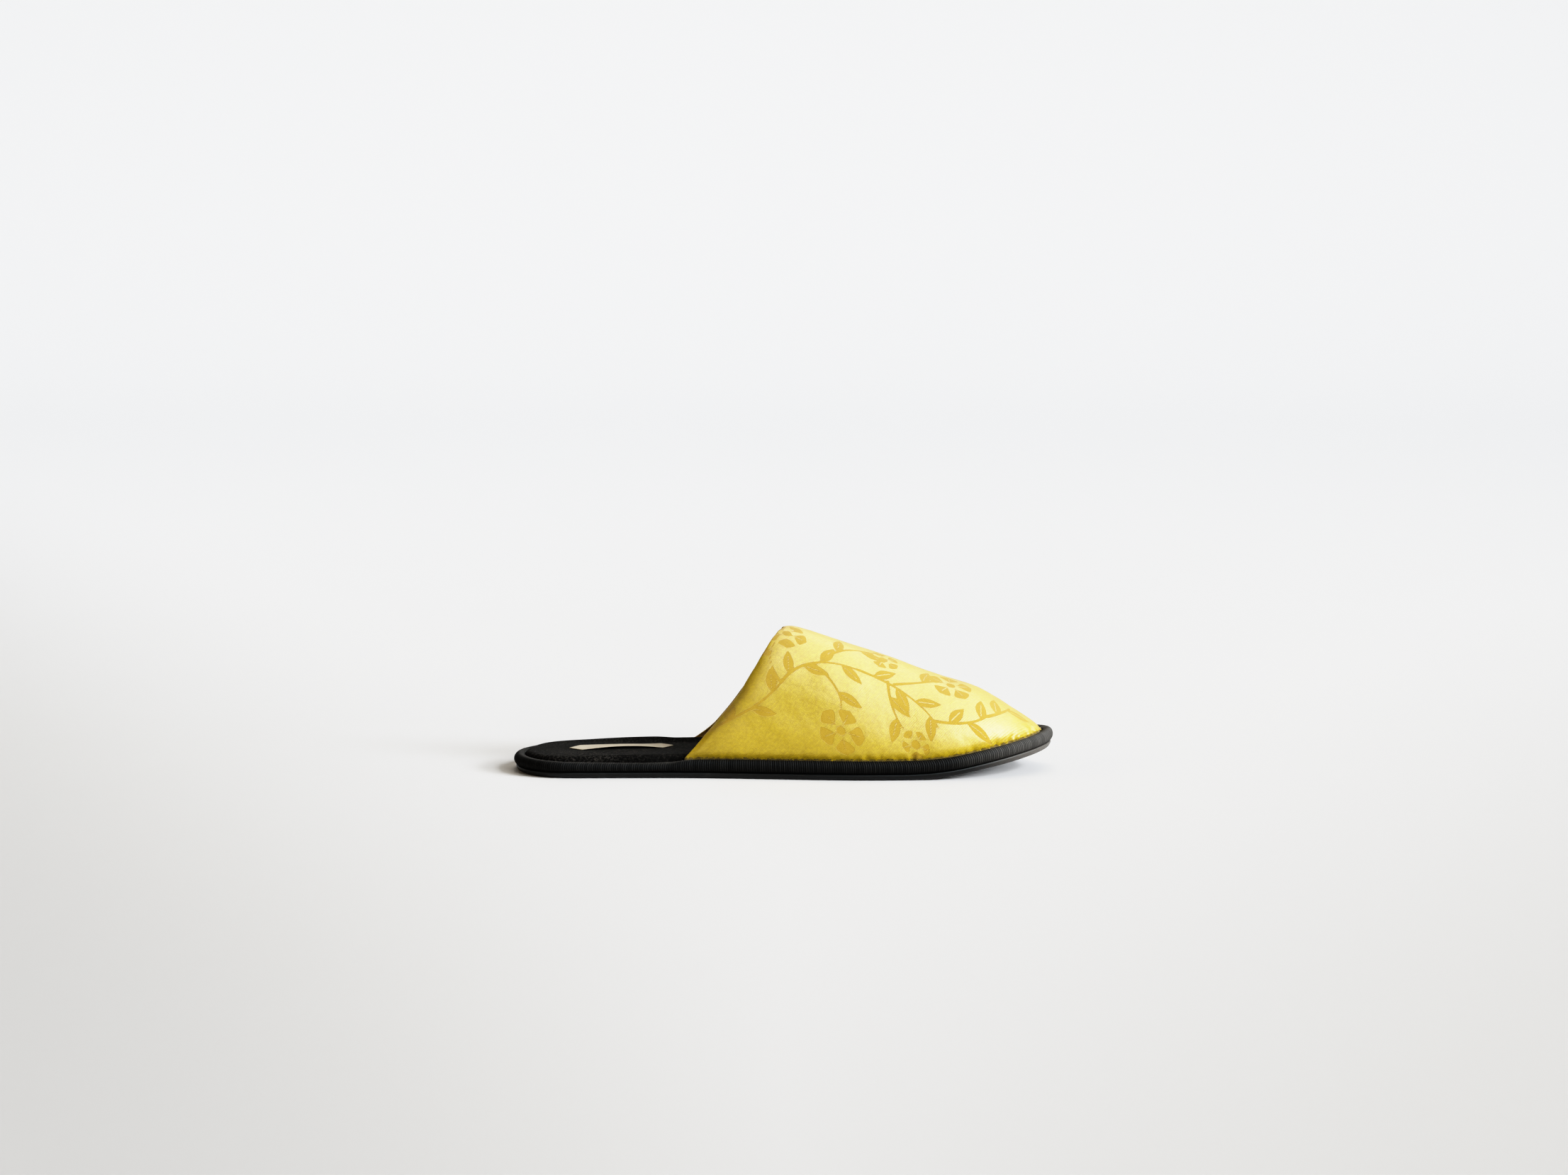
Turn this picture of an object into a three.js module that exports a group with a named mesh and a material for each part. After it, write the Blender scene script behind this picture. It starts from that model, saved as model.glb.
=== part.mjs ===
// Closed-toe slide for the right foot, in five closed solids: a padded satin upper, a ribbon-wrapped welt,
// a padded insole, a woven label and a thin outsole.
// Millimetres, +Z up. X runs from the heel to the toe and +Y is the wearer's left, the medial side.
// The origin is on the floor, under the middle of the shoe's box.

import * as THREE from "three";

// Driving dimensions
const LENGTH = 265; // over the welt, from the back of the heel to the toe
const SEAM_GAP = 0.3; // between pieces that meet
const HEEL_ROUND = 28.5; // length of the plan's round heel
const HEEL_POWER = 2;
const TOE_ROUND = 62; // length of the plan's round toe
const TOE_POWER = 1.85;
const SPRING_START = 188; // the sole leaves the floor here
const SPRING_BEND = 34; // it bends over this length, and then runs straight
const TOE_SPRING = 10.8; // height of the sole's tip over the floor

const OUTSOLE_THICKNESS = 3;
const WELT_BASE = OUTSOLE_THICKNESS + SEAM_GAP;
const WELT_WIDTH = 5.4; // beside the upper
const UPPER_WALL = 2;
const FEATHER_INSET = WELT_WIDTH + SEAM_GAP; // the upper's outer face, inside the welt
const INSOLE_INSET = FEATHER_INSET + UPPER_WALL + SEAM_GAP;
const WELT_WIDTH_HEEL = INSOLE_INSET - SEAM_GAP; // the welt fills the wall's room behind the upper
const WELT_STEP = 2.5; // length over which the welt changes its width, behind each wing of the upper
const FEATHER_HEIGHT = 9.2; // where the upper comes out of the welt
const SKIRT_FOOT = WELT_BASE + SEAM_GAP; // lower edge of the upper, tucked between welt and insole

const COLLAR_TOP_AT = 132.2; // middle of the collar
const COLLAR_TOP = 71;
const WING_AT = 84; // end of the collar on the lateral side
const MEDIAL_LEAD = 5.6; // the collar's medial side stands this much nearer the toe, less towards the top
const MEDIAL_SWEEP = 5; // but its foot sweeps back
const SWEEP_SHARE = 0.2; // over this share of the collar's height
const COLLAR_BOW = 2.8; // the collar's middle dips towards the toe
const EDGE_LENGTH = 4; // the collar's turned edge rolls inwards over this length
const EDGE_DROP = 1.4;
const EDGE_LIFT = 0.2; // the lining side of that edge

const LABEL_AT = 52.5;
const LABEL_SIDE = 1.5;
const LABEL_TURN = THREE.MathUtils.degToRad(6);
const LABEL_LENGTH = 51;
const LABEL_WIDTH = 13;
const LABEL_POINT = 5.5; // length of each pointed end
const LABEL_THICKNESS = 0.6;

// Plan of the welt's outer edge. at: from the back of the heel. axis: the centre line, medial is +.
// half: half the width, before the round ends.
const PLAN = [
  { at: 0, axis: 0, half: 32 },
  { at: 32, axis: 0, half: 32 },
  { at: 92, axis: -0.8, half: 31.2 },
  { at: 165, axis: 4, half: 42.8 },
  { at: 205, axis: 5.2, half: 43.2 },
  { at: LENGTH, axis: 6.8, half: 43.2 },
];

// Ridge of the upper over the floor. Behind the collar's top it only leads the wings' inward lean.
const RIDGE = [
  { at: 78, top: 88 },
  { at: COLLAR_TOP_AT, top: 72 },
  { at: 151, top: 66.3 },
  { at: 188, top: 53.5 },
  { at: 209, top: 45.9 },
  { at: 226, top: 40.4 },
  { at: 238, top: 34 },
  { at: 251, top: 25.6 },
  { at: 257.2, top: 21.3 },
  { at: LENGTH - FEATHER_INSET, top: 18.6 },
];

// Top of the insole over the sole's own rise. arch: extra height of its medial edge.
const ARCH_FROM = 0.7; // the medial edge starts to rise at this share of the half width
const FOOTBED = [
  { at: 8, top: 9.7, arch: 0 },
  { at: 28, top: 10.3, arch: 0.4 },
  { at: 60, top: 10.6, arch: 2 },
  { at: 105, top: 10.6, arch: 2.6 },
  { at: 160, top: 10.2, arch: 0.4 },
  { at: 215, top: 9, arch: 0 },
  { at: LENGTH - INSOLE_INSET, top: 7.6, arch: 0 },
];

// Layers from the floor up. inset: from the welt's outer edge. height: over the floor.
const OUTSOLE_LAYERS = [
  { inset: 3.2, height: 0 },
  { inset: 2, height: 0.5 },
  { inset: 1.2, height: 1.6 },
  { inset: 1, height: 2.6 },
  { inset: 1.5, height: OUTSOLE_THICKNESS },
];

// Layers from the insole's foot to its top. inset: from its own side. drop: below its top surface.
const INSOLE_EDGE = [
  { inset: 0, drop: 2.6 },
  { inset: 0.35, drop: 1.3 },
  { inset: 1.3, drop: 0.35 },
  { inset: 2.6, drop: 0 },
  { inset: 8, drop: 0 },
];

// Height of the welt along the shoe
const WELT_RISE = [
  { at: 0, height: 5.3 },
  { at: 20, height: 4.9 },
  { at: 45, height: 4.3 },
  { at: 78, height: 4.3 },
  { at: 90, height: 5.8 },
  { at: 170, height: 6 },
  { at: LENGTH, height: 6 },
];

// Welt's section. across: share of its width, from the outer edge. up: share of its height.
const WELT_SECTION = [
  { across: 0.2, up: 0 },
  { across: 0.05, up: 0.2 },
  { across: 0, up: 0.45 },
  { across: 0.07, up: 0.73 },
  { across: 0.27, up: 0.94 },
  { across: 0.52, up: 1 },
  { across: 0.82, up: 0.94 },
  { across: 1, up: 0.82 },
  { across: 1, up: 0 },
];

const PLAN_STEPS = 34; // stations on each side of a plan ring
const UPPER_ROWS = 22; // from the collar's turned edge to the toe
const UPPER_COLUMNS = 36; // from the lateral feather line over the ridge to the medial one
const EDGE_ROWS = [0, 0.5, 1.6]; // distances from the collar's edge
const LABEL_STEPS = 10;
const COLLAR_ROUNDS = 30; // rounds that settle where a column meets the collar

// A table's column at a place, on a smooth curve through its rows
function lookup(table, column, at) {
  const last = table.length - 1;
  if (at <= table[0].at) return table[0][column];
  if (at >= table[last].at) return table[last][column];
  const i = table.findIndex((row) => row.at > at) - 1;
  const slope = (k) => {
    const before = table[Math.max(k - 1, 0)];
    const after = table[Math.min(k + 1, last)];
    return (after[column] - before[column]) / (after.at - before.at);
  };
  const step = table[i + 1].at - table[i].at;
  const t = (at - table[i].at) / step;
  const rise = t * t * (3 - 2 * t);
  return (
    table[i][column] * (1 - rise) +
    table[i + 1][column] * rise +
    slope(i) * step * t * (1 - t) ** 2 -
    slope(i + 1) * step * t * t * (1 - t)
  );
}

// Share of the full width at a distance from a round end
function endRound(distance, length, power) {
  if (distance <= 0) return 0;
  if (distance >= length) return 1;
  return (1 - (1 - distance / length) ** power) ** (1 / power);
}

const axis = (x) => lookup(PLAN, "axis", x);

// Half the plan's width at x, inside the welt's outer edge by inset
function halfWidth(x, inset) {
  const heel = endRound(x - inset, HEEL_ROUND - inset, HEEL_POWER);
  const toe = endRound(LENGTH - inset - x, TOE_ROUND - inset, TOE_POWER);
  return (lookup(PLAN, "half", x) - inset) * heel * toe;
}

// Rise of the whole sole over the floor
function spring(x) {
  const past = Math.max(0, x - SPRING_START);
  const slope = TOE_SPRING / (LENGTH - SPRING_START - SPRING_BEND / 2);
  return slope * (past < SPRING_BEND ? past ** 2 / (2 * SPRING_BEND) : past - SPRING_BEND / 2);
}

// Triangles of one closed piece, with shared corners
class Skin {
  constructor() {
    this.corners = [];
    this.triangles = [];
    this.known = new Map();
  }
  corner(p) {
    const key = p.toArray().map((c) => c.toFixed(4)).join();
    if (!this.known.has(key)) {
      this.known.set(key, this.corners.length / 3);
      this.corners.push(p.x, p.y, p.z);
    }
    return this.known.get(key);
  }
  triangle(a, b, c) {
    const ids = [a, b, c].map((p) => this.corner(p));
    if (new Set(ids).size === 3) this.triangles.push(...ids);
  }
  // Corners run anticlockwise as seen from outside, and the shorter diagonal splits them
  quad(a, b, c, d) {
    if (a.distanceTo(c) <= b.distanceTo(d)) {
      this.triangle(a, b, c);
      this.triangle(a, c, d);
    } else {
      this.triangle(b, c, d);
      this.triangle(b, d, a);
    }
  }
  // Quads between two lines of points, the second to the left of the first
  strip(first, second) {
    for (let k = 0; k + 1 < first.length; k++) this.quad(first[k], first[k + 1], second[k + 1], second[k]);
  }
  geometry() {
    const made = new THREE.BufferGeometry();
    made.setAttribute("position", new THREE.Float32BufferAttribute(this.corners, 3));
    made.setIndex(this.triangles);
    made.computeVertexNormals();
    return made;
  }
}

// End of the collar on one side, where it meets the welt
const wingFoot = (side) => WING_AT + (side > 0 ? MEDIAL_LEAD - MEDIAL_SWEEP : 0);

// Places along the shoe for plan rings, as shares of a ring's length. They crowd at the round ends,
// and two more stand at each step of the welt's width.
function planShares() {
  const shares = [];
  for (let k = 0; k <= PLAN_STEPS; k++) shares.push((1 - Math.cos((Math.PI * k) / PLAN_STEPS)) / 2);
  for (const side of [-1, 1]) {
    const stepEnd = wingFoot(side) - SEAM_GAP;
    shares.push((stepEnd - WELT_STEP - WELT_WIDTH_HEEL) / (LENGTH - 2 * WELT_WIDTH_HEEL));
    shares.push((stepEnd - WELT_WIDTH) / (LENGTH - 2 * WELT_WIDTH));
  }
  return shares.sort((a, b) => a - b);
}
const SHARES = planShares();

// Stations of a plan ring, anticlockwise from above: heel, lateral side, toe, medial side
const RING = [
  ...SHARES.map((share) => ({ share, side: -1 })),
  ...SHARES.slice(1, -1).reverse().map((share) => ({ share, side: 1 })),
];

function planPoint({ share, side }, inset) {
  const x = inset + (LENGTH - 2 * inset) * share;
  return new THREE.Vector3(x, axis(x) + side * halfWidth(x, inset), 0);
}

function planRing(inset, height) {
  return RING.map((station) => {
    const p = planPoint(station, inset);
    p.z = height(p.x, p.y);
    return p;
  });
}

// A solid through plan rings from its foot up, closed by straight rungs between the two sides
function slab(rings) {
  const skin = new Skin();
  const closed = rings.map((ring) => [...ring, ring[0]]);
  for (let k = 0; k + 1 < closed.length; k++) skin.strip(closed[k], closed[k + 1]);
  const half = SHARES.length;
  const sides = (ring) => [ring.slice(0, half), [ring[0], ...ring.slice(half - 1).reverse()]];
  const [footLateral, footMedial] = sides(rings[0]);
  const [topLateral, topMedial] = sides(rings.at(-1));
  skin.strip(footMedial, footLateral);
  skin.strip(topLateral, topMedial);
  return skin.geometry();
}

function outsole() {
  return slab(OUTSOLE_LAYERS.map(({ inset, height }) => planRing(inset, (x) => height + spring(x))));
}

// The insole's top surface: its medial edge rises along the arch
function footbed(x, y) {
  const side = (y - axis(x)) / Math.max(halfWidth(x, INSOLE_INSET), 1);
  const arch = lookup(FOOTBED, "arch", x) * THREE.MathUtils.smoothstep(side, ARCH_FROM, 1);
  return lookup(FOOTBED, "top", x) + arch + spring(x);
}

function insole() {
  const foot = planRing(INSOLE_INSET, (x) => WELT_BASE + spring(x));
  const edge = INSOLE_EDGE.map(({ inset, drop }) =>
    planRing(INSOLE_INSET + inset, (x, y) => footbed(x, y) - drop),
  );
  return slab([foot, ...edge]);
}

// 0 behind the wing on this side, 1 beside the upper
function besideUpper(x, side) {
  const stepEnd = wingFoot(side) - SEAM_GAP;
  return THREE.MathUtils.clamp((x - stepEnd) / WELT_STEP + 1, 0, 1);
}

// A ring of ribbon over a soft cord, all round the sole's edge
function welt() {
  const sections = RING.map((station) => {
    const { x } = planPoint(station, WELT_WIDTH_HEEL);
    const width = THREE.MathUtils.lerp(WELT_WIDTH_HEEL, WELT_WIDTH, besideUpper(x, station.side));
    const height = lookup(WELT_RISE, "height", x);
    const points = WELT_SECTION.map(({ across, up }) => {
      const p = planPoint(station, across * width);
      p.z = WELT_BASE + spring(p.x) + up * height;
      return p;
    });
    return [...points, points[0]];
  });
  const skin = new Skin();
  sections.forEach((section, k) => skin.strip(sections[(k + 1) % sections.length], section));
  return skin.geometry();
}

const UPPER_TIP = LENGTH - FEATHER_INSET;
const featherLine = (x) => FEATHER_HEIGHT + spring(x);
const INSTEP_RISE = lookup(RIDGE, "top", COLLAR_TOP_AT) - featherLine(COLLAR_TOP_AT);

// Height of the ridge over the feather line, for the form that lies inside the upper's outer face by depth
function ridgeRise(x, depth) {
  const tip = UPPER_TIP - depth;
  const share = (tip - x) / (tip - COLLAR_TOP_AT);
  const outer = UPPER_TIP - share * (UPPER_TIP - COLLAR_TOP_AT);
  const rise = lookup(RIDGE, "top", outer) - featherLine(outer);
  return Math.max(rise, 0) * (1 - depth / INSTEP_RISE);
}

// A point of the upper. turn: 0 at the lateral feather line, half a turn at the medial one.
function upperPoint(x, turn, depth) {
  const half = halfWidth(x, FEATHER_INSET + depth);
  return new THREE.Vector3(
    x,
    axis(x) - Math.cos(turn) * half,
    featherLine(x) + Math.sin(turn) * ridgeRise(x, depth),
  );
}

// Where the collar cuts the upper across a section: a nearly straight line in side view
function collarAt(turn) {
  const medial = (1 - Math.cos(turn)) / 2;
  let x = WING_AT;
  for (let k = 0; k < COLLAR_ROUNDS; k++) {
    const share = (upperPoint(x, turn, 0).z - FEATHER_HEIGHT) / (COLLAR_TOP - FEATHER_HEIGHT);
    const lead = MEDIAL_LEAD * (1 - share) - MEDIAL_SWEEP * Math.max(0, 1 - share / SWEEP_SHARE) ** 2;
    const bow = COLLAR_BOW * 4 * share * (1 - share);
    x = WING_AT + (COLLAR_TOP_AT - WING_AT) * share + lead * medial + bow;
  }
  return x;
}

// Depth of a face near the collar, where the outer face and the lining roll towards each other
function edgeDepth(distance, face) {
  const share = THREE.MathUtils.clamp(1 - distance / EDGE_LENGTH, 0, 1);
  const roll = 1 - Math.sqrt(1 - share * share);
  return face === "outer" ? EDGE_DROP * roll : UPPER_WALL - EDGE_LIFT * roll;
}

// Rows of one face of the upper, from the collar to the tip, each from one lower edge to the other
function upperFace(face) {
  const rows = [];
  const tip = UPPER_TIP - (face === "outer" ? 0 : UPPER_WALL);
  for (let i = -EDGE_ROWS.length; i <= UPPER_ROWS; i++) {
    const row = [];
    for (let j = 0; j <= UPPER_COLUMNS; j++) {
      const turn = (Math.PI * j) / UPPER_COLUMNS;
      const start = collarAt(turn) + (i < 0 ? EDGE_ROWS.at(i) : EDGE_LENGTH);
      const left = i < 0 ? 1 : (1 - i / UPPER_ROWS) ** 2;
      const x = tip - (tip - start) * left;
      row.push(upperPoint(x, turn, edgeDepth(x - collarAt(turn), face)));
    }
    const skirt = (p) => new THREE.Vector3(p.x, p.y, SKIRT_FOOT + spring(p.x));
    rows.push([skirt(row[0]), ...row, skirt(row.at(-1))]);
  }
  return rows;
}

// One hollow wall, open at the collar and underneath
function upper() {
  const outer = upperFace("outer");
  const inner = upperFace("inner");
  const skin = new Skin();
  for (let i = 0; i + 1 < outer.length; i++) {
    skin.strip(outer[i + 1], outer[i]);
    skin.strip(inner[i], inner[i + 1]);
  }
  skin.strip(outer[0], inner[0]);
  const edge = (rows, j) => rows.map((row) => row.at(j));
  skin.strip(edge(inner, 0), edge(outer, 0));
  skin.strip(edge(outer, -1), edge(inner, -1));
  return skin.geometry();
}

// A ribbon with two pointed ends, lying on the insole
function label() {
  const skin = new Skin();
  const place = (along, across, lift) => {
    const x = LABEL_AT + along * Math.cos(LABEL_TURN) - across * Math.sin(LABEL_TURN);
    const y = LABEL_SIDE + along * Math.sin(LABEL_TURN) + across * Math.cos(LABEL_TURN);
    return new THREE.Vector3(x, y, footbed(x, y) + SEAM_GAP + lift);
  };
  const layer = (lift) => {
    const rungs = [];
    for (let k = 0; k <= LABEL_STEPS; k++) {
      const straight = LABEL_LENGTH / 2 - LABEL_POINT;
      const along = k === 0 ? -LABEL_LENGTH / 2 : k === LABEL_STEPS ? LABEL_LENGTH / 2 : 0;
      const inner = straight * ((2 * (k - 1)) / (LABEL_STEPS - 2) - 1);
      const end = k === 0 || k === LABEL_STEPS;
      const half = end ? 0 : LABEL_WIDTH / 2;
      rungs.push([-half, 0, half].map((across) => place(end ? along : inner, across, lift)));
    }
    return rungs;
  };
  const low = layer(0);
  const high = layer(LABEL_THICKNESS);
  for (let k = 0; k < LABEL_STEPS; k++) {
    skin.strip(high[k + 1], high[k]);
    skin.strip(low[k], low[k + 1]);
  }
  const side = (rungs, j) => rungs.map((rung) => rung[j]);
  skin.strip(side(low, 0), side(high, 0));
  skin.strip(side(high, 2), side(low, 2));
  return skin.geometry();
}

const MATERIALS = {
  satin: { color: 0xd9c43c, roughness: 0.42, metalness: 0 },
  ribbon: { color: 0x1a1a19, roughness: 0.7, metalness: 0 },
  suede: { color: 0x191918, roughness: 0.95, metalness: 0 },
  rubber: { color: 0x171718, roughness: 0.55, metalness: 0 },
  tape: { color: 0xc9c1ac, roughness: 0.8, metalness: 0 },
};

const shoe = new THREE.Group();
const pieces = [
  ["outsole", outsole(), MATERIALS.rubber],
  ["welt", welt(), MATERIALS.ribbon],
  ["insole", insole(), MATERIALS.suede],
  ["upper", upper(), MATERIALS.satin],
  ["label", label(), MATERIALS.tape],
];
for (const [name, geometry, finish] of pieces) {
  const mesh = new THREE.Mesh(geometry, new THREE.MeshStandardMaterial(finish));
  mesh.name = name;
  shoe.add(mesh);
}

const box = new THREE.Box3().setFromObject(shoe);
shoe.position.set(-(box.min.x + box.max.x) / 2, -(box.min.y + box.max.y) / 2, -box.min.z);

export default shoe;
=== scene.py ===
import math

import bpy
import numpy as np
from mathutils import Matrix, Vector


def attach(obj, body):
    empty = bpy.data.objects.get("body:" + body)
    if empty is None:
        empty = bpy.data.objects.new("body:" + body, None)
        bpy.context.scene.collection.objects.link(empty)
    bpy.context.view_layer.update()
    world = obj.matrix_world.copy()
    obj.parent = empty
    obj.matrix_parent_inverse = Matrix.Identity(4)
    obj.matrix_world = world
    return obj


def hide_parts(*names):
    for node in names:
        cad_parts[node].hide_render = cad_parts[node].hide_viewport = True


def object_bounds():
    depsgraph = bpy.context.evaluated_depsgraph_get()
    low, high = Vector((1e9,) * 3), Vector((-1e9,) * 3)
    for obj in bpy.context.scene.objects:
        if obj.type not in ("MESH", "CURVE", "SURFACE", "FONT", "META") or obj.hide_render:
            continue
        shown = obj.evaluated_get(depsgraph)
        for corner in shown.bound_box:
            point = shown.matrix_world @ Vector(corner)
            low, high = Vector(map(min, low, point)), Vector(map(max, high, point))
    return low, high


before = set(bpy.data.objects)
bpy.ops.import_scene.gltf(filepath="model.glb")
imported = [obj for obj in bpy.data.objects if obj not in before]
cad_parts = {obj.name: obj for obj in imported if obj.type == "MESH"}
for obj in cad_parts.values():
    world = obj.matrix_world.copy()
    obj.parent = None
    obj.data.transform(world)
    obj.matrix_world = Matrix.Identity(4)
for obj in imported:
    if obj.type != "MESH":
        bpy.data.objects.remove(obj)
cad_low, cad_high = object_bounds()

# The closed-toe slide's looks: satin upper with a woven figure, ribbed ribbon welt, napped insole, bare label
# and rubber outsole. Sizes are in millimetres from the back of the heel, and the row frame is in metres.
MM = 0.001


def rows(columns, *values):
    """A short table: one dict for each row, with named columns."""
    names = columns.split()
    return [dict(zip(names, row)) for row in values]


# Driving dimensions of the last and the sole, the same as the solids have
LENGTH = (cad_high.x - cad_low.x) / MM
SEAM_GAP = 0.3
HEEL_ROUND, HEEL_POWER = 28.5, 2
TOE_ROUND, TOE_POWER = 62, 1.85
SPRING_START, SPRING_BEND, TOE_SPRING = 188, 34, 10.8
OUTSOLE_THICKNESS = 3
WELT_BASE = OUTSOLE_THICKNESS + SEAM_GAP
WELT_WIDTH = 5.4
UPPER_WALL = 2
FEATHER_INSET = WELT_WIDTH + SEAM_GAP
INSOLE_INSET = FEATHER_INSET + UPPER_WALL + SEAM_GAP
WELT_WIDTH_HEEL = INSOLE_INSET - SEAM_GAP
WELT_STEP = 2.5
FEATHER_HEIGHT = 9.2
SKIRT_FOOT = WELT_BASE + SEAM_GAP
COLLAR_TOP_AT, COLLAR_TOP = 132.2, 71
WING_AT = 84
MEDIAL_SWEEP, SWEEP_SHARE = 5, 0.2
LEAD_LOW, LEAD_HIGH, LEAD_RISE = 4.5, 5.2, (0.45, 0.75)
LEAD_FROM = 0.7  # the medial collar leads in full where the upper's wall is steeper than this
COLLAR_WAVER, WAVER_SIZE, WAVER_SEED = 0.45, 6.5, 31
COLLAR_BOW, BOW_POWER = 2.15, 3  # the collar's line bows most at a quarter of its height
DENT_DEPTH, DENT_AT, DENT_SHARE = 1.4, 0.47, 0.15  # the lateral collar draws in at mid height
COLLAR_ROUNDS = 30
THROAT_DIP, THROAT_HALF = 1.3, 0.3  # the collar's top is rounded over these radians beside the ridge
UPPER_TIP = LENGTH - FEATHER_INSET

PLAN = rows(
    "at axis half",
    (0, 0, 32), (32, 0, 32), (92, -0.8, 31.2), (165, 4, 42.8), (205, 5.2, 43.2), (LENGTH, 6.8, 43.2),
)
RIDGE = rows(
    "at top",
    (78, 88), (COLLAR_TOP_AT, 72), (151, 66.3), (188, 53.5), (209, 45.9),
    (226, 40.4), (238, 34), (251, 25.6), (257.2, 21.3), (UPPER_TIP, 18.6),
)
FOOTBED = rows(
    "at top arch",
    (8, 9.7, 0), (28, 10.3, 0.4), (60, 10.6, 2), (105, 10.6, 2.6),
    (160, 10.2, 0.4), (215, 9, 0), (LENGTH - INSOLE_INSET, 7.6, 0),
)
ARCH_FROM = 0.7
WELT_RISE = rows("at height", (0, 5.3), (20, 4.9), (45, 4.3), (78, 4.3), (90, 5.8), (170, 6), (LENGTH, 6))

# Fineness of the meshes
UPPER_ROWS, UPPER_COLUMNS, SKIRT_STEPS = 240, 248, 4
INNER_STEP = 2  # the upper's inner face has each second row and column
ROW_CROWDING = 1.5  # rows crowd towards the toe by this power
RING_STEPS, CAP_RUNGS = 220, 60  # stations along each side of the insole and outsole, and across them
SAMPLES = np.linspace(0, 1, 4000)  # for lengths along the plan
NOISE_CELLS = 64


def smoothstep(value, low, high):
    t = np.clip((value - low) / (high - low), 0, 1)
    return t * t * (3 - 2 * t)


def column(table, name):
    return np.array([row[name] for row in table], float)


def lookup(table, name, at):
    """A table's column at places along the shoe, on a smooth curve through its rows."""
    places, values = column(table, "at"), column(table, name)
    ends = np.diff(values) / np.diff(places)
    between = (values[2:] - values[:-2]) / (places[2:] - places[:-2])
    slopes = np.r_[ends[:1], between, ends[-1:]]
    at = np.clip(at, places[0], places[-1])
    i = np.clip(np.searchsorted(places, at, side="right") - 1, 0, len(places) - 2)
    step = places[i + 1] - places[i]
    t = (at - places[i]) / step
    rise = t * t * (3 - 2 * t)
    level = values[i] * (1 - rise) + values[i + 1] * rise
    return level + slopes[i] * step * t * (1 - t) ** 2 - slopes[i + 1] * step * t * t * (1 - t)


def soft_noise(u, v, size, seed):
    """Smooth noise from -1 to 1 over two lengths, with hills about size apart."""
    lattice = np.random.default_rng(seed).uniform(-1, 1, (NOISE_CELLS, NOISE_CELLS))

    def cell(length):
        place = length / size
        low = np.floor(place).astype(int)
        t = place - low
        return low % NOISE_CELLS, (low + 1) % NOISE_CELLS, t * t * (3 - 2 * t)

    u0, u1, tu = cell(u)
    v0, v1, tv = cell(v)
    near = lattice[u0, v0] * (1 - tu) + lattice[u1, v0] * tu
    far = lattice[u0, v1] * (1 - tu) + lattice[u1, v1] * tu
    return near * (1 - tv) + far * tv


def swelled(level, table, u, v):
    for row in table:
        level = level + row["height"] * soft_noise(u, v + LENGTH, row["size"], row["seed"])
    return level


# The last
def axis(x):
    return lookup(PLAN, "axis", x)


def end_round(distance, length, power):
    share = np.clip(distance / length, 0, 1)
    return (1 - (1 - share) ** power) ** (1 / power)


def half_width(x, inset):
    """Half the plan's width at x, inside the welt's outer edge by inset."""
    heel = end_round(x - inset, HEEL_ROUND - inset, HEEL_POWER)
    toe = end_round(LENGTH - inset - x, TOE_ROUND - inset, TOE_POWER)
    return (lookup(PLAN, "half", x) - inset) * heel * toe


def spring(x):
    """Rise of the whole sole over the floor."""
    past = np.maximum(0, x - SPRING_START)
    slope = TOE_SPRING / (LENGTH - SPRING_START - SPRING_BEND / 2)
    return slope * np.where(past < SPRING_BEND, past**2 / (2 * SPRING_BEND), past - SPRING_BEND / 2)


def plan_point(share, side, inset):
    """x and y of a place on the plan's outline, drawn in by inset."""
    x = inset + (LENGTH - 2 * inset) * share
    return x, axis(x) + side * half_width(x, inset)


def plan_middle():
    lateral = plan_point(SAMPLES, -1, 0)[1]
    medial = plan_point(SAMPLES, 1, 0)[1]
    return (lateral.min() + medial.max()) / 2


ORIGIN = np.array([LENGTH / 2, plan_middle(), 0])


def footbed(x, y):
    """The insole's top surface: its medial edge rises along the arch."""
    side = (y - axis(x)) / np.maximum(half_width(x, INSOLE_INSET), 1)
    return lookup(FOOTBED, "top", x) + lookup(FOOTBED, "arch", x) * smoothstep(side, ARCH_FROM, 1) + spring(x)


def feather(x):
    return FEATHER_HEIGHT + spring(x)


INSTEP_RISE = lookup(RIDGE, "top", COLLAR_TOP_AT) - feather(COLLAR_TOP_AT)


def ridge_rise(x, depth):
    """Height of the ridge over the feather line, for the form inside the outer face by depth."""
    tip = UPPER_TIP - depth
    outer = UPPER_TIP - (tip - x) / (tip - COLLAR_TOP_AT) * (UPPER_TIP - COLLAR_TOP_AT)
    rise = lookup(RIDGE, "top", outer) - feather(outer)
    return np.maximum(rise, 0) * (1 - depth / INSTEP_RISE)


def upper_point(x, turn, depth):
    """A point of the upper. turn: 0 at the lateral feather line, half a turn at the medial one."""
    y = axis(x) - np.cos(turn) * half_width(x, FEATHER_INSET + depth)
    z = feather(x) + np.sin(turn) * ridge_rise(x, depth)
    return np.stack(np.broadcast_arrays(x, y, z), -1)


def skewed(share, power):
    """A hump from 0 to 1 and back, with its top at one part in power and one."""
    top = 1 / (power + 1)
    return share * (1 - share) ** power / (top * (1 - top) ** power)


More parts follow.
